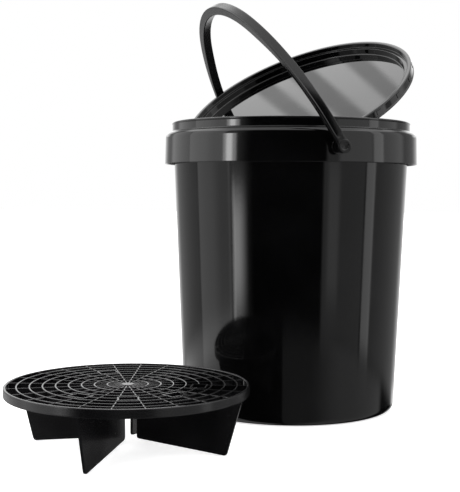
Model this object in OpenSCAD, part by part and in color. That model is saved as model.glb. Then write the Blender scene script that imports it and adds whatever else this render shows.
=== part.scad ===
// Wash bucket: 20 litre pail with bail handle, snap lid propped in the mouth, and grit guard beside it.
// Origin: centre of the pail's base on the floor. +Z up, millimetres.

/* [Pail] */
// height of the rim above the floor
pail_h = 368; // [340:1:400]
// outer radius of the wall at the floor
base_r = 137; // [120:0.5:145]
// outer radius of the lip that the lid snaps over
lip_r = 153.5; // [140:0.5:165]
// outer radius of the collar's lower edge
collar_r = 163; // [155:0.5:175]
// height of the collar's lower edge above the floor
collar_z = 315; // [300:1:335]
// wall thickness
wall_t = 2.2; // [1.6:0.1:3]

/* [Bail] */
// direction of the hinge line seen from above, degrees
bail_az = -70; // [-90:1:-40]
// lean of the bail from upright, degrees
bail_lean = 31; // [0:1:90]
// half the outside width of the arch
bail_a = 182; // [174:1:190]
// height of the arch above the hinge line
bail_h = 211; // [190:1:230]
// radius of the arch's crown
bail_crown_r = 156; // [130:1:165]
// strap thickness along the legs
bail_t = 7; // [5:0.5:10]
// strap thickness at the grip
bail_grip_t = 11; // [7:0.5:13]
// strap width
bail_w = 12; // [9:0.5:16]
// height of the hinge line
hinge_z = 332; // [325:1:338]
// radius of the hinge pins
pin_r = 5; // [3:0.5:6]
// radial clearance of the pins in the ears
pin_gap = 0.05; // [0.02:0.01:0.1]

/* [Lid] */
// outer radius of the lid's top ring
lid_r = 155.6; // [150:0.1:160]
// depth of the recessed panel
lid_deep = 14; // [10:0.5:25]
// length of the skirt
skirt_h = 12; // [10:0.5:20]
// position of the ring's centre in the propped pose
lid_pos = [5.7, 7, 402.3];
// tilt of the propped lid, degrees from level
lid_tilt = 33.8; // [0:0.1:60]
// direction in which the propped lid faces, degrees
lid_az = 232.1; // [0:0.1:360]

/* [Guard] */
// outer radius of the grit guard
guard_r = 133; // [120:0.5:140]
// overall height of the guard
guard_h = 70.5; // [60:0.5:90]
// height of the guard's outer band
band_h = 9.5; // [6:0.5:14]
// centre of the guard on the floor
guard_pos = [-174, -250.3, 0];
// turn of the guard about its own axis, degrees
guard_turn = -13.2; // [-45:0.1:45]

/* [Hidden] */
$fn = 96;
draft = 0.0436;
rim_in = lip_r - 1.8;
y0 = bail_h - bail_crown_r;
side_r = (bail_a * bail_a + y0 * y0 - bail_crown_r * bail_crown_r) / (2 * (bail_a - bail_crown_r));
side_th = atan(y0 / (side_r - bail_a));
eye_x = bail_a - bail_t - 0.3;
pitch = 13.85;
bar_h = 7.5;
bar_t = 1.7;

function wall_r(z) = base_r + draft * z;

// ---------- pail ----------
module pail_shell() {
    rotate_extrude()
        polygon([
            [0, 0], [130.4, 0], [132.7, 0.55], [134.7, 1.9], [136.2, 3.9],
            [137.1, 6.2], [wall_r(9), 9], [wall_r(350), 350.5],
            [160.1, 347.4], [161, collar_z], [161.5, collar_z - 0.5], [162.6, collar_z - 0.5],
            [collar_r, collar_z], [162.2, 348.4], [161.6, 351.4], [159.6, 353.8], [156.6, 355.2],
            [lip_r, 355.9], [lip_r, 365.2], [lip_r + 0.5, 365.7], [lip_r + 0.5, 366.9],
            [lip_r, 367.7], [lip_r - 0.9, pail_h], [rim_in + 0.3, 367.6], [rim_in, 366.8], [rim_in, 356],
            [wall_r(351) - wall_t, 351], [wall_r(12) - wall_t, 12], [133.4, 8.2],
            [131.4, 4.4], [127.5, 2.8], [0, 2.8]
        ]);
}

module collar_webs() {
    for (i = [0:11])
        rotate([0, 0, bail_az + 15 + 30 * i])
            translate([152.4, -0.9, 322])
                cube([8.4, 1.8, 27]);
}

module ear(back = 0) {
    rotate([0, 0, bail_az + 180 * back])
        translate([152.6, 0, hinge_z])
            rotate([0, 90, 0])
                difference() {
                    union() {
                        cylinder(r = 11, h = 9);
                        cylinder(r = 9, h = 12.4);
                    }
                    translate([0, 0, 1.4])
                        cylinder(r = pin_r + pin_gap, h = 20);
                }
}

module ear_bores() {
    for (b = [0, 1])
        rotate([0, 0, bail_az + 180 * b])
            translate([154, 0, hinge_z])
                rotate([0, 90, 0])
                    cylinder(r = pin_r + pin_gap, h = 20);
}

module bucket_body() {
    color([0.02, 0.02, 0.022])
        union() {
            difference() {
                union() {
                    pail_shell();
                    collar_webs();
                }
                ear_bores();
            }
            ear(0);
            ear(1);
        }
}

// ---------- bail ----------
// the strap is drawn flat: X along the hinge line, Y up the arch, Z across the strap
// a point of the outer line at angle t of the side arc, or of the crown arc, moved in by d
function on_side(t, d) = [bail_a - side_r + (side_r - d) * cos(t), (side_r - d) * sin(t)];
function on_crown(t, d) = [(bail_crown_r - d) * cos(t), y0 + (bail_crown_r - d) * sin(t)];
// the strap is bail_t thick along the legs and swells to bail_grip_t between these heights
function swell(y) = let (f = min(1, max(0, (y - 105) / 60))) f * f * (3 - 2 * f);
function thick(y) = bail_t + (bail_grip_t - bail_t) * swell(y);
function side_arc(d, from, to, n) = [for (i = [0:n]) on_side(from + (to - from) * i / n, d)];
function half_arch(inner) = concat(
    [for (i = [0:18]) let (t = side_th * i / 18) on_side(t, inner * thick(side_r * sin(t)))],
    [for (i = [1:12]) let (t = side_th + (90 - side_th) * i / 12)
        on_crown(t, inner * thick(y0 + bail_crown_r * sin(t)))]
);
function flip(pts) = [for (i = [len(pts) - 1:-1:0]) [-pts[i].x, pts[i].y]];
function back(pts) = [for (i = [len(pts) - 1:-1:0]) pts[i]];
function arch(inner) = concat(half_arch(inner), [for (i = [1:len(half_arch(inner)) - 1]) flip(half_arch(inner))[i]]);

module strap_side_groove() {
    translate([0, 0, -2.8])
        linear_extrude(height = 5.6)
            polygon(concat(side_arc(-3, 3.2, side_th - 9, 14), back(side_arc(2.2, 3.2, side_th - 9, 14))));
}

module bail_place() {
    translate([0, 0, hinge_z])
        rotate([0, 0, bail_az])
            rotate([bail_lean, 0, 0])
                rotate([90, 0, 0])
                    children();
}

module bail() {
    color([0.03, 0.03, 0.032])
        bail_place()
            difference() {
                union() {
                    translate([0, 0, -bail_w / 2])
                        linear_extrude(height = bail_w)
                            polygon(concat(arch(0), back(arch(1))));
                    for (m = [0, 1])
                        mirror([m, 0, 0])
                            translate([eye_x, 0, 0])
                                rotate([0, 90, 0])
                                    cylinder(r = 8, h = bail_t + 0.7);
                }
                strap_side_groove();
                mirror([1, 0, 0])
                    strap_side_groove();
            }
}

module bail_pin(back) {
    color([0.03, 0.03, 0.032])
        translate([0, 0, hinge_z])
            rotate([0, 0, bail_az + 180 * back])
                rotate([0, 90, 0])
                    translate([0, 0, 155])
                        union() {
                            cylinder(r = pin_r, h = eye_x - 155);
                            translate([0, 0, 11])
                                cylinder(r = 7, h = eye_x - 166);
                        }
}

module bail_pin_front() bail_pin(0);
module bail_pin_back() bail_pin(1);

// ---------- lid ----------
module lid_place() {
    translate(lid_pos)
        rotate([0, lid_tilt, lid_az])
            children();
}

module lid_shell() {
    color([0.02, 0.02, 0.022])
        lid_place()
            union() {
                rotate_extrude()
                    polygon([
                        [0, -lid_deep], [143.5, -lid_deep], [144.3, -lid_deep + 0.8], [144.8, -6.3], [145.1, -6],
                        [149.5, -6], [149.8, -5.7], [150.1, -0.6], [150.8, 0], [154.8, 0],
                        [lid_r, -0.8], [lid_r + 0.1, -9.6], [lid_r + 0.7, -10.2], [lid_r + 0.7, -skirt_h + 0.3],
                        [lid_r + 0.4, -skirt_h], [154.5, -skirt_h], [154.3, -1.9], [151.7, -1.9],
                        [151.4, -7.8], [146.7, -7.8], [146.3, -lid_deep - 1.3],
                        [145.8, -lid_deep - 1.8], [0, -lid_deep - 1.8]
                    ]);
                for (i = [0:23])
                    rotate([0, 0, 15 * i])
                        translate([154.9, -4, -8])
                            cube([1.25, 8, 5.4]);
            }
}

module lid_gasket() {
    color([0.06, 0.06, 0.06])
        lid_place()
            rotate_extrude()
                polygon([[151.85, -3.9], [151.75, -1.9], [154.3, -1.9], [154.3, -3.9], [153.1, -3.3]]);
}

// ---------- grit guard ----------
module guard_place() {
    translate(guard_pos)
        rotate([0, 0, guard_turn])
            children();
}

module guard_band() {
    color([0.03, 0.03, 0.03])
        guard_place()
            rotate_extrude()
                polygon([
                    [guard_r - 3, guard_h - band_h], [guard_r, guard_h - band_h], [guard_r, guard_h - 0.6],
                    [guard_r - 0.6, guard_h], [guard_r - 2.4, guard_h], [guard_r - 3, guard_h - 0.6]
                ]);
}

module grate_ring(r) {
    rotate_extrude()
        translate([r - bar_t / 2, guard_h - bar_h - 0.3])
            square([bar_t, bar_h]);
}

module finger_hole(a) {
    rotate([0, 0, a])
        translate([78, 0, guard_h - bar_h - 2])
            rotate([0, 0, 90])
                translate([-9.5, -7, 0])
                    cube([19, 14, bar_h + 4]);
}

module finger_collar(a) {
    rotate([0, 0, a])
        translate([78, 0, guard_h - bar_h + 0.2])
            rotate([0, 0, 90])
                translate([-11.3, -8.8, 0])
                    cube([22.6, 17.6, bar_h - 0.6]);
}

module guard_grate() {
    holes = [-106.1, -67.5, -29.1, 10.2, 129];
    color([0.03, 0.03, 0.03])
        guard_place()
            difference() {
                union() {
                    for (k = [1:8])
                        grate_ring(guard_r - pitch * k);
                    for (i = [0:11])
                        rotate([0, 0, 15 * i])
                            translate([-guard_r + 3.05, -bar_t / 2, guard_h - bar_h])
                                cube([2 * guard_r - 6.1, bar_t, bar_h - 0.7]);
                    translate([0, 0, guard_h - bar_h - 0.1])
                        cylinder(r = 7, h = bar_h - 0.1);
                    for (a = holes)
                        finger_collar(a);
                }
                for (a = holes)
                    finger_hole(a);
            }
}

module guard_fin(k) {
    color([0.03, 0.03, 0.03])
        guard_place()
            rotate([0, 0, 90 * k])
                translate([0, 1.5, 0])
                    rotate([90, 0, 0])
                        linear_extrude(height = 3)
                            polygon([
                                [11, 11.6], [111, 0], [113, 1.2], [129.9, guard_h - band_h + 0.4],
                                [129.9, guard_h - bar_h - 0.35], [11, guard_h - bar_h - 0.35]
                            ]);
}

module guard_fin_a() guard_fin(2);
module guard_fin_b() guard_fin(3);
module guard_fin_c() guard_fin(1);
module guard_fin_d() guard_fin(0);

bucket_body();
bail();
bail_pin_front();
bail_pin_back();
lid_shell();
lid_gasket();
guard_band();
guard_grate();
guard_fin_a();
guard_fin_b();
guard_fin_c();
guard_fin_d();
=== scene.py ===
"""Wash bucket: glossy black pail, bail handle, lid propped in the mouth, grit guard beside it."""
import math

import bmesh
import bpy
from mathutils import Matrix, Vector


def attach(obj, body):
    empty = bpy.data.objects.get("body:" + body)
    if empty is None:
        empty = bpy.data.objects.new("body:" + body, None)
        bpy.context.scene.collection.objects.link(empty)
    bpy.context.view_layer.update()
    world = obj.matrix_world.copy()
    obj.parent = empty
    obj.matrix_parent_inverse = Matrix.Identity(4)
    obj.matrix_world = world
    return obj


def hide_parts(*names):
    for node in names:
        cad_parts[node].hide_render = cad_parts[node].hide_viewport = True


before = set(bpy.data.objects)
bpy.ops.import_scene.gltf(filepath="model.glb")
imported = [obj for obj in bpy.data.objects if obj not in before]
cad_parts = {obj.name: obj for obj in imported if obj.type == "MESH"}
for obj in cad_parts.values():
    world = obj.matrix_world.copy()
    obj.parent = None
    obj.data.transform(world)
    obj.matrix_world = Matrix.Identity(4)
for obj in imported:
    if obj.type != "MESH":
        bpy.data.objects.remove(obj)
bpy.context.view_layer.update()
scene = bpy.context.scene
MM = 0.001


# ---------------------------------------------------------------- sizes, in millimetres
# The pail, as the CAD has it.
BASE_R, DRAFT, WALL_T = 137.0, 0.0436, 2.2
LIP_R, PAIL_H, COLLAR_R, COLLAR_Z = 153.5, 368.0, 163.0, 315.0
RIM_IN = LIP_R - 1.8
HINGE_Z = 332.0
WEBS, WEB_SIZE = 12, (8.4, 1.8, 27)  # inside the hollow collar

# The bail, a three-centred arch that leans over its hinge line.
BAIL_AZ, BAIL_LEAN = -70.0, 31.0
BAIL_A, BAIL_H, CROWN_R, BAIL_T, GRIP_T, BAIL_W = 182.0, 211.0, 156.0, 7.0, 11.0, 12.0
CROWN_Y = BAIL_H - CROWN_R
SIDE_R = (BAIL_A**2 + CROWN_Y**2 - CROWN_R**2) / (2 * (BAIL_A - CROWN_R))
SIDE_TH = math.degrees(math.atan2(CROWN_Y, SIDE_R - BAIL_A))
EYE_X = BAIL_A - BAIL_T - 0.3  # where the flat face of the eyes stands
PIN_X = 155.0  # where the hinge pins start
GRIP_FROM, GRIP_FADE = 105.0, 60.0  # the strap swells over this height
GROOVE_DEEP = 2.2

# The lid in its propped pose.
LID_R, LID_DEEP, SKIRT_H = 155.6, 14.0, 12.0
LID_POS, LID_TILT, LID_AZ = (5.7, 7.0, 402.3), 33.8, 232.1
GRIP_BARS, GRIP_BAR_SIZE = 24, (1.25, 8, 5.4)

# The grit guard.
GUARD_R, GUARD_H, BAND_H, BAR_H, BAR_T = 133.0, 70.5, 9.5, 7.5, 1.7
RING_PITCH, GUARD_POS, GUARD_TURN = 13.85, (-174.0, -250.3, 0.0), -13.2
HOLE_AT, HOLE_LONG, HOLE_WIDE = 78.0, 19.0, 14.0
HOLE_TURNS = (-106.1, -67.5, -29.1, 10.2, 129.0)
RINGS, SPOKES, HUB_R, SPOKE_END, FRAME_T, FIN_T = 8, 24, 7.0, 3.08, 1.8, 3.0


def turn(axis, degrees):
    return Matrix.Rotation(math.radians(degrees), 4, axis)


def shift(x, y, z):
    return Matrix.Translation(Vector((x, y, z)))


LID_PLACE = shift(*LID_POS) @ turn("Z", LID_AZ) @ turn("Y", LID_TILT)
GUARD_PLACE = shift(*GUARD_POS) @ turn("Z", GUARD_TURN)
BAIL_PLACE = (
    shift(0, 0, HINGE_Z) @ turn("Z", BAIL_AZ) @ turn("X", BAIL_LEAN) @ turn("X", 90)
)


# ---------------------------------------------------------------- materials
def node(tree, kind, **sockets):
    n = tree.nodes.new(kind)
    for k, v in sockets.items():
        n.inputs[k.replace("_", " ")].default_value = v
    return n


def plastic(name, base, rough, spread, grain, bump, dust=0.004):
    """Moulded black plastic: uneven gloss, fine skin texture, hairline scuffs and a little dust."""
    mat = bpy.data.materials.new(name)
    mat.use_nodes = True
    t = mat.node_tree
    shader = t.nodes["Principled BSDF"]
    shader.inputs["IOR"].default_value = 1.5
    where = t.nodes.new("ShaderNodeTexCoord").outputs["Object"]

    def noise(scale, detail=3.0, stretch=None):
        n = node(t, "ShaderNodeTexNoise", Scale=scale, Detail=detail)
        if stretch:
            m = node(t, "ShaderNodeMapping", Scale=stretch)
            t.links.new(where, m.inputs["Vector"])
            t.links.new(m.outputs["Vector"], n.inputs["Vector"])
        else:
            t.links.new(where, n.inputs["Vector"])
        return n.outputs["Fac"]

    def remap(value, lo, hi, to_lo, to_hi):
        n = node(
            t, "ShaderNodeMapRange", From_Min=lo, From_Max=hi, To_Min=to_lo, To_Max=to_hi
        )
        t.links.new(value, n.inputs["Value"])
        return n.outputs["Result"]

    flow = noise(14.0, 2.0)
    scuff = noise(60.0, 6.0, (1.0, 1.0, 26.0))
    skin = noise(grain, 4.0)
    speck = noise(900.0, 1.0)
    # gloss: slow flow marks plus hairline scuffs
    mix = node(t, "ShaderNodeMath")
    mix.operation = "ADD"
    t.links.new(remap(flow, 0.3, 0.7, rough - spread, rough + spread), mix.inputs[0])
    t.links.new(remap(scuff, 0.66, 0.8, 0.0, spread * 2.5), mix.inputs[1])
    t.links.new(mix.outputs[0], shader.inputs["Roughness"])
    # colour: near black, a shade lighter where the skin is thin, with rare dust
    ramp = t.nodes.new("ShaderNodeMix")
    ramp.data_type = "RGBA"
    ramp.inputs["A"].default_value = (*[c * 0.7 for c in base], 1)
    ramp.inputs["B"].default_value = (*[c * 1.5 for c in base], 1)
    t.links.new(remap(flow, 0.35, 0.65, 0.0, 1.0), ramp.inputs["Factor"])
    dusty = t.nodes.new("ShaderNodeMix")
    dusty.data_type = "RGBA"
    dusty.inputs["B"].default_value = (0.35, 0.35, 0.34, 1)
    t.links.new(ramp.outputs["Result"], dusty.inputs["A"])
    t.links.new(remap(speck, 0.74, 0.8, 0.0, dust * 6), dusty.inputs["Factor"])
    t.links.new(dusty.outputs["Result"], shader.inputs["Base Color"])
    # skin texture
    bumped = node(t, "ShaderNodeBump", Strength=bump, Distance=0.0003)
    t.links.new(skin, bumped.inputs["Height"])
    t.links.new(bumped.outputs["Normal"], shader.inputs["Normal"])
    return mat


PAIL = plastic("pail_gloss", (0.0012, 0.0012, 0.0013), 0.075, 0.02, 260.0, 0.03)
LID = plastic("lid_gloss", (0.0012, 0.0012, 0.0013), 0.03, 0.015, 220.0, 0.012)
BAIL = plastic("bail_satin", (0.0022, 0.0022, 0.0024), 0.2, 0.05, 700.0, 0.14)
GUARD = plastic("guard_satin", (0.003, 0.003, 0.0033), 0.22, 0.05, 600.0, 0.08)
SEAL = plastic("seal_rubber", (0.014, 0.014, 0.014), 0.62, 0.08, 1500.0, 0.4, dust=0.05)


# ---------------------------------------------------------------- mesh helpers
# A side longer than LONG_SIDE gets a support point SUPPORT beyond the corner's arc, which keeps
# its shading flat.
LONG_SIDE, SUPPORT = 4, 0.6


def rounded(points, radius, steps=3):
    """The same closed outline with each corner turned into a small arc."""
    out, n = [], len(points)
    for i, p in enumerate(points):
        a, b, c = Vector(points[i - 1]), Vector(p), Vector(points[(i + 1) % n])
        u, v = a - b, c - b
        cut = min(radius, u.length * 0.45, v.length * 0.45)
        if cut < 0.02 or abs(u.angle(v, math.pi) - math.pi) < 0.06:
            out.append(b)
            continue
        start, end = b + u.normalized() * cut, b + v.normalized() * cut
        if u.length > LONG_SIDE:
            out.append(b + u.normalized() * (cut + SUPPORT))
        for k in range(steps + 1):
            s = k / steps
            out.append(start * (1 - s) ** 2 + b * 2 * s * (1 - s) + end * s**2)
        if v.length > LONG_SIDE:
            out.append(b + v.normalized() * (cut + SUPPORT))
    return [(p.x, p.y) for p in out]


def finish_mesh(name, bm, material, body, sharp, replaces):
    """Turns millimetres into metres, shades it smooth with crisp corners, rides it on a body."""
    bmesh.ops.scale(bm, vec=(MM,) * 3, verts=bm.verts)
    bmesh.ops.recalc_face_normals(bm, faces=bm.faces)
    mesh = bpy.data.meshes.new(name)
    bm.to_mesh(mesh)
    bm.free()
    mesh.shade_smooth()
    mesh.set_sharp_from_angle(angle=math.radians(sharp))
    mesh.materials.append(material)
    obj = bpy.data.objects.new(name, mesh)
    scene.collection.objects.link(obj)
    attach(obj, body)
    if replaces:
        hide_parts(*replaces)


def add_lathe(bm, profile, place=Matrix(), segments=240, start=0.0, sweep=360.0):
    """Revolves a closed outline of (radius, height); a part turn gets end caps."""
    whole = sweep >= 360.0
    rings = []
    for i in range(segments if whole else segments + 1):
        a = math.radians(start + sweep * i / segments)
        ring = [
            bm.verts.new(place @ Vector((r * math.cos(a), r * math.sin(a), z)))
            for r, z in profile
        ]
        rings.append(ring)
    count = len(profile)
    for i in range(segments):
        here, there = rings[i], rings[(i + 1) % len(rings)]
        for j in range(count):
            k = (j + 1) % count
            bm.faces.new((here[j], here[k], there[k], there[j]))
    if not whole:
        bm.faces.new(rings[0])
        bm.faces.new(rings[-1])
    if min(r for r, _ in profile) < 1e-6:  # the points on the axis become one
        made = [v for ring in rings for v in ring]
        bmesh.ops.remove_doubles(bm, verts=made, dist=1e-5)


def add_box(bm, size, place, bevel):
    """A box with bevelled edges, centred on its place."""
    made = bmesh.ops.create_cube(bm, size=1.0, matrix=place @ Matrix.Diagonal((*size, 1)))
    edges = list({e for v in made["verts"] for e in v.link_edges})
    bmesh.ops.bevel(bm, geom=edges, offset=bevel, segments=2, affect="EDGES")


def add_plate(bm, outline, thick, place, bevel=0.6):
    """A flat plate: an outline in XY, centred on Z."""
    low = [bm.verts.new(place @ Vector((x, y, -thick / 2))) for x, y in outline]
    high = [bm.verts.new(place @ Vector((x, y, thick / 2))) for x, y in outline]
    faces = [bm.faces.new(low[::-1]), bm.faces.new(high)]
    n = len(outline)
    for i in range(n):
        j = (i + 1) % n
        faces.append(bm.faces.new((low[i], low[j], high[j], high[i])))
    edges = [e for f in faces[:2] for e in f.edges]
    bmesh.ops.bevel(bm, geom=edges, offset=bevel, segments=2, affect="EDGES")


def add_sweep(bm, sections):
    """Skins a row of equal sections and caps both ends."""
    rows = [[bm.verts.new(p) for p in s] for s in sections]
    n = len(rows[0])
    for here, there in zip(rows, rows[1:]):
        for j in range(n):
            k = (j + 1) % n
            bm.faces.new((here[j], here[k], there[k], there[j]))
    bm.faces.new(rows[0])
    bm.faces.new(rows[-1][::-1])


# ---------------------------------------------------------------- pail
def wall_r(z):
    """Outer radius of the tapered wall at a height."""
    return BASE_R + DRAFT * z


def pail_profile():
    lip = [
        (COLLAR_R, COLLAR_Z), (162.2, 348.4), (161.6, 351.4), (159.6, 353.8), (156.6, 355.2),
        (LIP_R, 355.9), (LIP_R, 365.2), (LIP_R + 0.5, 365.7), (LIP_R + 0.5, 366.9),
        (LIP_R, 367.7), (LIP_R - 0.9, PAIL_H), (RIM_IN + 0.3, 367.6), (RIM_IN, 366.8),
        (RIM_IN, 356),
    ]
    wall = [
        (0, 0), (130.4, 0), (132.7, 0.55), (134.7, 1.9), (136.2, 3.9), (137.1, 6.2), (wall_r(9), 9),
        (wall_r(14), 14), (wall_r(345), 345), (wall_r(350), 350.5), (160.1, 347.4),
        (161, COLLAR_Z), (161.5, COLLAR_Z - 0.5), (162.6, COLLAR_Z - 0.5),
    ]
    inside = [
        (wall_r(351) - WALL_T, 351), (wall_r(12) - WALL_T, 12), (133.4, 8.2), (131.4, 4.4),
        (127.5, 2.8), (0, 2.8),
    ]
    return wall + lip + inside


def make_pail():
    bm = bmesh.new()
    add_lathe(bm, rounded(pail_profile(), 0.9), segments=360)
    for i in range(WEBS):
        web = turn("Z", BAIL_AZ + 15 + 360 / WEBS * i) @ shift(156.6, 0, 335.5)
        add_box(bm, WEB_SIZE, web, 0.3)
    finish_mesh("pail_moulding", bm, PAIL, "pail", 30, ("bucket_body",))
    # the round ears that carry the hinge pins
    bm = bmesh.new()
    ear = rounded([
        (5.1, 1.4), (5.1, 12.4), (9, 12.4), (9, 9), (11, 9), (11, 0), (6, 0), (6, 1.4),
    ], 0.5)
    for back in (0, 180):
        place = turn("Z", BAIL_AZ + back) @ shift(152.6, 0, HINGE_Z) @ turn("Y", 90)
        add_lathe(bm, ear, place, 64)
    finish_mesh("pail_ears", bm, PAIL, "pail", 38, ())


# ---------------------------------------------------------------- bail
def arch_point(side, s):
    """A point of the arch's outer line and its outward direction; s is 0 at the eye, 1 on top."""
    span = math.radians(SIDE_TH) * SIDE_R
    crown = math.radians(90 - SIDE_TH) * CROWN_R
    along = s * (span + crown)
    if along <= span:
        t = along / SIDE_R
        p = Vector((BAIL_A - SIDE_R + SIDE_R * math.cos(t), SIDE_R * math.sin(t)))
    else:
        t = math.radians(SIDE_TH) + (along - span) / CROWN_R
        p = Vector((CROWN_R * math.cos(t), CROWN_Y + CROWN_R * math.sin(t)))
    out = Vector((math.cos(t), math.sin(t)))
    return (p, out) if side > 0 else (Vector((-p.x, p.y)), Vector((-out.x, out.y)))


def strap_section(groove, t):
    """Outline across the strap: (distance in from the outer line, offset across)."""
    h, g = BAIL_W / 2, 2.8
    return rounded(
        [(0, -h), (t, -h), (t, h), (0, h), (0, g), (groove, g - 0.4), (groove, -g + 0.4), (0, -g)],
        1.1, 3,
    )


def strap_thickness(y):
    """Thin along the legs, thicker at the grip."""
    f = min(1.0, max(0.0, (y - GRIP_FROM) / GRIP_FADE))
    return BAIL_T + (GRIP_T - BAIL_T) * f * f * (3 - 2 * f)


def make_bail():
    bm = bmesh.new()
    steps = 110
    sections = []
    for side, run in ((1, range(steps + 1)), (-1, range(steps - 1, -1, -1))):
        for i in run:
            s = i / steps
            p, out = arch_point(side, s)
            # the groove starts beyond the eye and runs out before the grip
            fade = min(1.0, max(0.0, (s - 0.045) / 0.012), max(0.0, (0.5 - s) / 0.05))
            sections.append([
                BAIL_PLACE @ Vector((p.x - out.x * d, p.y - out.y * d, w))
                for d, w in strap_section(0.02 + GROOVE_DEEP * fade, strap_thickness(p.y))
            ])
    add_sweep(bm, sections)
    top = BAIL_T + 0.7
    eye = rounded([(0, 0), (8, 0), (8, top), (4.6, top), (4.0, top - 0.8), (0, top - 0.8)], 0.7)
    eye = [(max(r, 0.0), z) for r, z in eye]
    for m in (0, 180):
        place = BAIL_PLACE @ turn("Y", m) @ shift(EYE_X, 0, 0) @ turn("Y", 90)
        add_lathe(bm, eye, place, 48)
    finish_mesh("bail_strap", bm, BAIL, "bail", 35, ("bail",))
    for name, back in (("front", 0), ("back", 180)):
        bm = bmesh.new()
        length = EYE_X - PIN_X
        pin = [(0, 0), (5, 0), (5, 11), (7, 11), (7, length), (0, length)]
        place = turn("Z", BAIL_AZ + back) @ shift(PIN_X, 0, HINGE_Z) @ turn("Y", 90)
        add_lathe(bm, rounded(pin, 0.5), place, 48)
        pin_node = f"bail_pin_{name}"
        finish_mesh(f"{pin_node}_turned", bm, BAIL, "bail", 35, (pin_node,))


# ---------------------------------------------------------------- lid
def make_lid():
    profile = [
        (0, -LID_DEEP), (143.5, -LID_DEEP), (144.3, -LID_DEEP + 0.8), (144.8, -6.3), (145.1, -6),
        (149.5, -6), (149.8, -5.7), (150.1, -0.6), (150.8, 0), (154.8, 0),
        (LID_R, -0.8), (LID_R + 0.1, -9.6), (LID_R + 0.7, -10.2), (LID_R + 0.7, -SKIRT_H + 0.3),
        (LID_R + 0.4, -SKIRT_H), (154.5, -SKIRT_H), (154.3, -1.9), (151.7, -1.9),
        (151.4, -7.8), (146.7, -7.8), (146.3, -LID_DEEP - 1.3), (145.8, -LID_DEEP - 1.8),
        (0, -LID_DEEP - 1.8),
    ]
    bm = bmesh.new()
    add_lathe(bm, rounded(profile, 0.7), LID_PLACE, 360)
    for i in range(GRIP_BARS):
        bar = LID_PLACE @ turn("Z", 360 / GRIP_BARS * i) @ shift(155.525, 0, -5.3)
        add_box(bm, GRIP_BAR_SIZE, bar, 0.35)
    finish_mesh("lid_moulding", bm, LID, "lid", 30, ("lid_shell",))
    bm = bmesh.new()
    seal = [(151.85, -3.9), (151.75, -1.9), (154.3, -1.9), (154.3, -3.9), (153.1, -3.3)]
    add_lathe(bm, rounded(seal, 0.3), LID_PLACE, 240)
    finish_mesh("lid_seal", bm, SEAL, "lid", 40, ("lid_gasket",))


# ---------------------------------------------------------------- grit guard
def in_hole(x, y):
    """Whether a point of the grate falls in one of the finger holes."""
    for a in HOLE_TURNS:
        c, s = math.cos(math.radians(a)), math.sin(math.radians(a))
        out, along = x * c + y * s - HOLE_AT, y * c - x * s
        if abs(out) < HOLE_WIDE / 2 and abs(along) < HOLE_LONG / 2:
            return True
    return False


def runs(flags):
    """(first, last) of each unbroken run of true flags."""
    out, start = [], None
    for i, f in enumerate([*flags, False]):
        if f and start is None:
            start = i
        if not f and start is not None:
            out.append((start, i - 1))
            start = None
    return out


def bar_section(thick, low, high):
    """Section of a grate bar: (across, height)."""
    h = thick / 2
    return rounded([(-h, low), (h, low), (h, high), (-h, high)], 0.6, 2)


def add_rings(bm, low, top):
    """The grate's rings, cut where a finger hole crosses them."""
    steps = 720
    deg = 360 / steps
    for k in range(1, RINGS + 1):
        r = GUARD_R - RING_PITCH * k
        section = [(r + x, z) for x, z in bar_section(BAR_T, low - 0.3, top)]
        open_at = [
            not in_hole(r * math.cos(math.tau * i / steps), r * math.sin(math.tau * i / steps))
            for i in range(steps)
        ]
        if all(open_at):
            add_lathe(bm, section, GUARD_PLACE, 180)
            continue
        first = open_at.index(False)
        for a, b in runs(open_at[first:] + open_at[:first]):
            pieces = max(4, (b - a) // 4)
            add_lathe(bm, section, GUARD_PLACE, pieces, (a + first) * deg, (b - a) * deg)


def add_spokes(bm, low, top):
    """Half bars from the hub outwards, sampled every half millimetre for the finger holes."""
    first, last = 10, 260
    for i in range(SPOKES):
        angle = math.radians(360 / SPOKES * i)
        c, s = math.cos(angle), math.sin(angle)
        flags = [not in_hole(c * r / 2, s * r / 2) for r in range(first, last)]
        for a, b in runs(flags):
            r0, r1 = (a + first) / 2, min((b + first) / 2, GUARD_R - SPOKE_END)
            rows = []
            for r in (r0, r1):
                rows.append([
                    GUARD_PLACE @ Vector((c * r - s * x, s * r + c * x, z))
                    for x, z in bar_section(BAR_T * 0.8, low, top - 0.4)
                ])
            add_sweep(bm, rows)


def add_hole_frames(bm, low, top):
    """Four narrow walls round each finger hole."""
    height = top - low - 0.3
    out, along = (HOLE_WIDE + FRAME_T) / 2, (HOLE_LONG + FRAME_T) / 2
    for a in HOLE_TURNS:
        at = GUARD_PLACE @ turn("Z", a) @ shift(HOLE_AT, 0, (low + top) / 2)
        for side in (-1, 1):
            long_wall = (FRAME_T, HOLE_LONG + 2 * FRAME_T, height)
            add_box(bm, long_wall, at @ shift(side * out, 0, 0), 0.4)
            add_box(bm, (HOLE_WIDE, FRAME_T, height), at @ shift(0, side * along, 0), 0.4)


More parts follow.
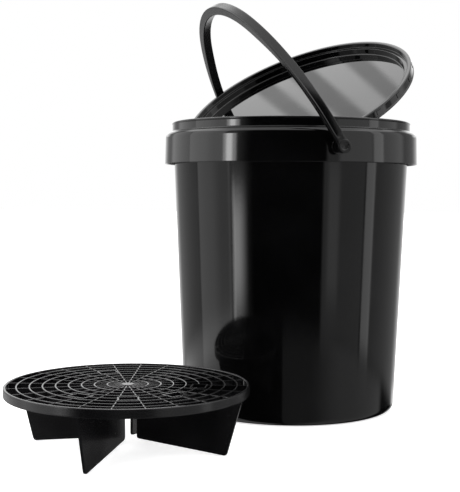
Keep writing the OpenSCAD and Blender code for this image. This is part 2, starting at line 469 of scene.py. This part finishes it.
def make_guard():
    low, top = GUARD_H - BAR_H, GUARD_H - 0.3
    bm = bmesh.new()
    add_rings(bm, low, top)
    add_spokes(bm, low, top)
    hub = rounded([(0, low), (HUB_R, low), (HUB_R, top), (0, top)], 0.6)
    add_lathe(bm, hub, GUARD_PLACE, 48)
    add_hole_frames(bm, low, top)
    finish_mesh("guard_web", bm, GUARD, "guard", 40, ("guard_grate",))

    bm = bmesh.new()
    band = [
        (GUARD_R - 3, GUARD_H - BAND_H), (GUARD_R, GUARD_H - BAND_H), (GUARD_R, GUARD_H - 0.6),
        (GUARD_R - 0.6, GUARD_H), (GUARD_R - 2.4, GUARD_H), (GUARD_R - 3, GUARD_H - 0.6),
    ]
    add_lathe(bm, rounded(band, 0.5), GUARD_PLACE, 300)
    finish_mesh("guard_rim", bm, GUARD, "guard", 35, ("guard_band",))

    outline = rounded([
        (11, 11.6), (111, 0), (113, 1.2), (129.9, GUARD_H - BAND_H + 0.4),
        (129.9, low - 0.35), (11, low - 0.35),
    ], 1.5)
    for letter, quarter in zip("abcd", (2, 3, 1, 0)):
        bm = bmesh.new()
        add_plate(bm, outline, FIN_T, GUARD_PLACE @ turn("Z", 90 * quarter) @ turn("X", 90))
        fin = (f"guard_fin_{letter}",)
        finish_mesh(f"guard_vane_{letter}", bm, GUARD, "guard", 35, fin)


make_pail()
make_bail()
make_lid()
make_guard()


# ---------------------------------------------------------------- floor, light and camera
def make_floor():
    mesh = bpy.data.meshes.new("studio_floor")
    h = 12.0  # half its side
    mesh.from_pydata([(-h, -h, 0), (h, -h, 0), (h, h, 0), (-h, h, 0)], [], [(0, 1, 2, 3)])
    floor = bpy.data.objects.new("studio_floor", mesh)
    scene.collection.objects.link(floor)
    floor.location.z = -0.0002  # just under the pail's base
    floor.visible_glossy = False  # the table top among the softboxes stands in for it
    mat = bpy.data.materials.new("studio_floor")
    mat.use_nodes = True
    shader = mat.node_tree.nodes["Principled BSDF"]
    shader.inputs["Base Color"].default_value = (0.93, 0.93, 0.93, 1)
    shader.inputs["Roughness"].default_value = 0.8
    shader.inputs["Specular IOR Level"].default_value = 0.1
    shader.inputs["Emission Color"].default_value = (1, 1, 1, 1)
    shader.inputs["Emission Strength"].default_value = 0.62
    mesh.materials.append(mat)


# Softboxes as patches of the surroundings. Each has (from, to, fade in, fade out) across, the same
# upwards, both in degrees, and the radiance. Across, 0 is the camera's side and 90 the right.
SOFTBOXES = [
    ((-101, -62, 2, 3), (-12, 50, 2, 10), 0.72),  # wide box on the left
    ((-101, -84, 2, 14), (-12, 50, 2, 10), 0.3),
    ((-61, -56, 2, 22), (-12, 50, 2, 10), 0.5),
    ((-300, -104, 1, 3), (-12, 50, 2, 10), 0.42),
    ((-130, -64, 10, 4), (1.5, 50, 1, 10), 0.75),
    ((-57.5, -56.3, 1, 2), (-12, -4.5, 1.5, 1.5), 2.4),  # its lamp, seen low
    ((-55, -53, 2, 13), (-8.5, -6, 4.5, 3), 3.8),
    ((-60, -50, 3, 3), (2, 8, 1, 2), 3.6),  # and high
    ((-57, -54, 3, 3), (3, 7, 2, 2), 6.0),
    ((34, 76, 3, 3), (-12, 50, 2, 10), 0.4),  # wide box on the right
    ((40, 46, 5, 6), (-9, -4, 3, 3), 0.35),
    ((46, 115, 4, 10), (1.5, 50, 1, 10), 0.5),
    ((80, 89, 2, 3), (-11.5, 45, 2, 10), 1.3),  # strip on the right
    ((91, 300, 4, 1), (-12, 30, 1.5, 10), 0.33),  # white backdrop
    ((160, 300, 20, 1), (-12, 90, 1.5, 1), 0.5),
    ((-300, -160, 1, 15), (-12, 90, 1.5, 1), 0.45),
    ((-5, 112, 2, 10), (-90, -13.5, 1, 1), 0.14),  # table top in front
    ((60, 112, 40, 10), (-90, -13.5, 1, 1), 0.3),
    ((-140, -62, 10, 4), (-90, -12, 1, 2), 0.7),
    ((150, 300, 8, 1), (6, 20, 2, 4), 0.7),  # backdrop lights behind the guard
    ((-300, -150, 1, 8), (6, 20, 2, 4), 0.7),
    ((152, 300, 3, 1), (-24, -12, 2, 1), 0.45),  # white floor behind the pail
    ((-300, 300, 1, 1), (38, 90, 8, 1), 1.3),  # overhead
    ((-159.6, -158.9, 0.6, 0.6), (36, 60, 4, 8), -1.0),  # dark flags across it
    ((-162.3, -161.3, 0.6, 0.6), (36, 60, 4, 8), -1.1),
    ((-165.6, -164.8, 0.6, 0.6), (36, 60, 4, 8), -1.0),
]
AMBIENT = 0.006


def make_world():
    """White for the camera; everything else sees the softboxes."""
    world = bpy.data.worlds.new("studio")
    scene.world = world
    world.use_nodes = True
    t = world.node_tree
    t.nodes.clear()

    def math_node(operation, *values):
        n = t.nodes.new("ShaderNodeMath")
        n.operation = operation
        for slot, v in zip(n.inputs, values):
            if isinstance(v, (int, float)):
                slot.default_value = v
            else:
                t.links.new(v, slot)
        return n.outputs[0]

    def fade(value, start, end, low, high):
        n = node(t, "ShaderNodeMapRange", From_Min=start, From_Max=end, To_Min=low, To_Max=high)
        n.interpolation_type = "SMOOTHSTEP"
        t.links.new(value, n.inputs["Value"])
        return n.outputs["Result"]

    def band(value, lo, hi, fade_in, fade_out):
        rise, fall = fade(value, lo - fade_in, lo, 0, 1), fade(value, hi, hi + fade_out, 1, 0)
        return math_node("MULTIPLY", rise, fall)

    split = t.nodes.new("ShaderNodeSeparateXYZ")
    t.links.new(t.nodes.new("ShaderNodeTexCoord").outputs["Generated"], split.inputs[0])
    x, y, z = split.outputs
    across = math_node("DEGREES", math_node("ARCTAN2", x, math_node("MULTIPLY", y, -1.0)))
    upward = math_node("DEGREES", math_node("ARCSINE", z))
    total = AMBIENT
    for sideways, heights, radiance in SOFTBOXES:
        patch = math_node("MULTIPLY", band(across, *sideways), band(upward, *heights))
        total = math_node("ADD", total, math_node("MULTIPLY", patch, radiance))
    lit = node(t, "ShaderNodeBackground", Color=(1, 1, 1, 1))
    t.links.new(total, lit.inputs["Strength"])
    seen = node(t, "ShaderNodeBackground", Color=(1, 1, 1, 1), Strength=1.0)
    mix = t.nodes.new("ShaderNodeMixShader")
    t.links.new(t.nodes.new("ShaderNodeLightPath").outputs["Is Camera Ray"], mix.inputs["Fac"])
    t.links.new(lit.outputs[0], mix.inputs[1])
    t.links.new(seen.outputs[0], mix.inputs[2])
    t.links.new(mix.outputs[0], t.nodes.new("ShaderNodeOutputWorld").inputs["Surface"])


make_floor()
make_world()
scene.view_settings.view_transform = "Standard"

CAMERA_AT = (0.0, -1.3531, 0.2809)
LOOK_LEFT, LOOK_DOWN, ROLL = 3.30, 3.09, 0.35  # degrees
SENSOR, LENS = 36.0, 75.4
cam = bpy.data.objects.new("camera", bpy.data.cameras.new("camera"))
scene.collection.objects.link(cam)
cam.data.sensor_width = SENSOR
cam.data.lens = LENS
cam.data.clip_end = 60.0
cam.location = CAMERA_AT
look = turn("Z", LOOK_LEFT) @ turn("X", 90 - LOOK_DOWN) @ turn("Z", ROLL)
cam.rotation_euler = look.to_euler()
scene.camera = cam
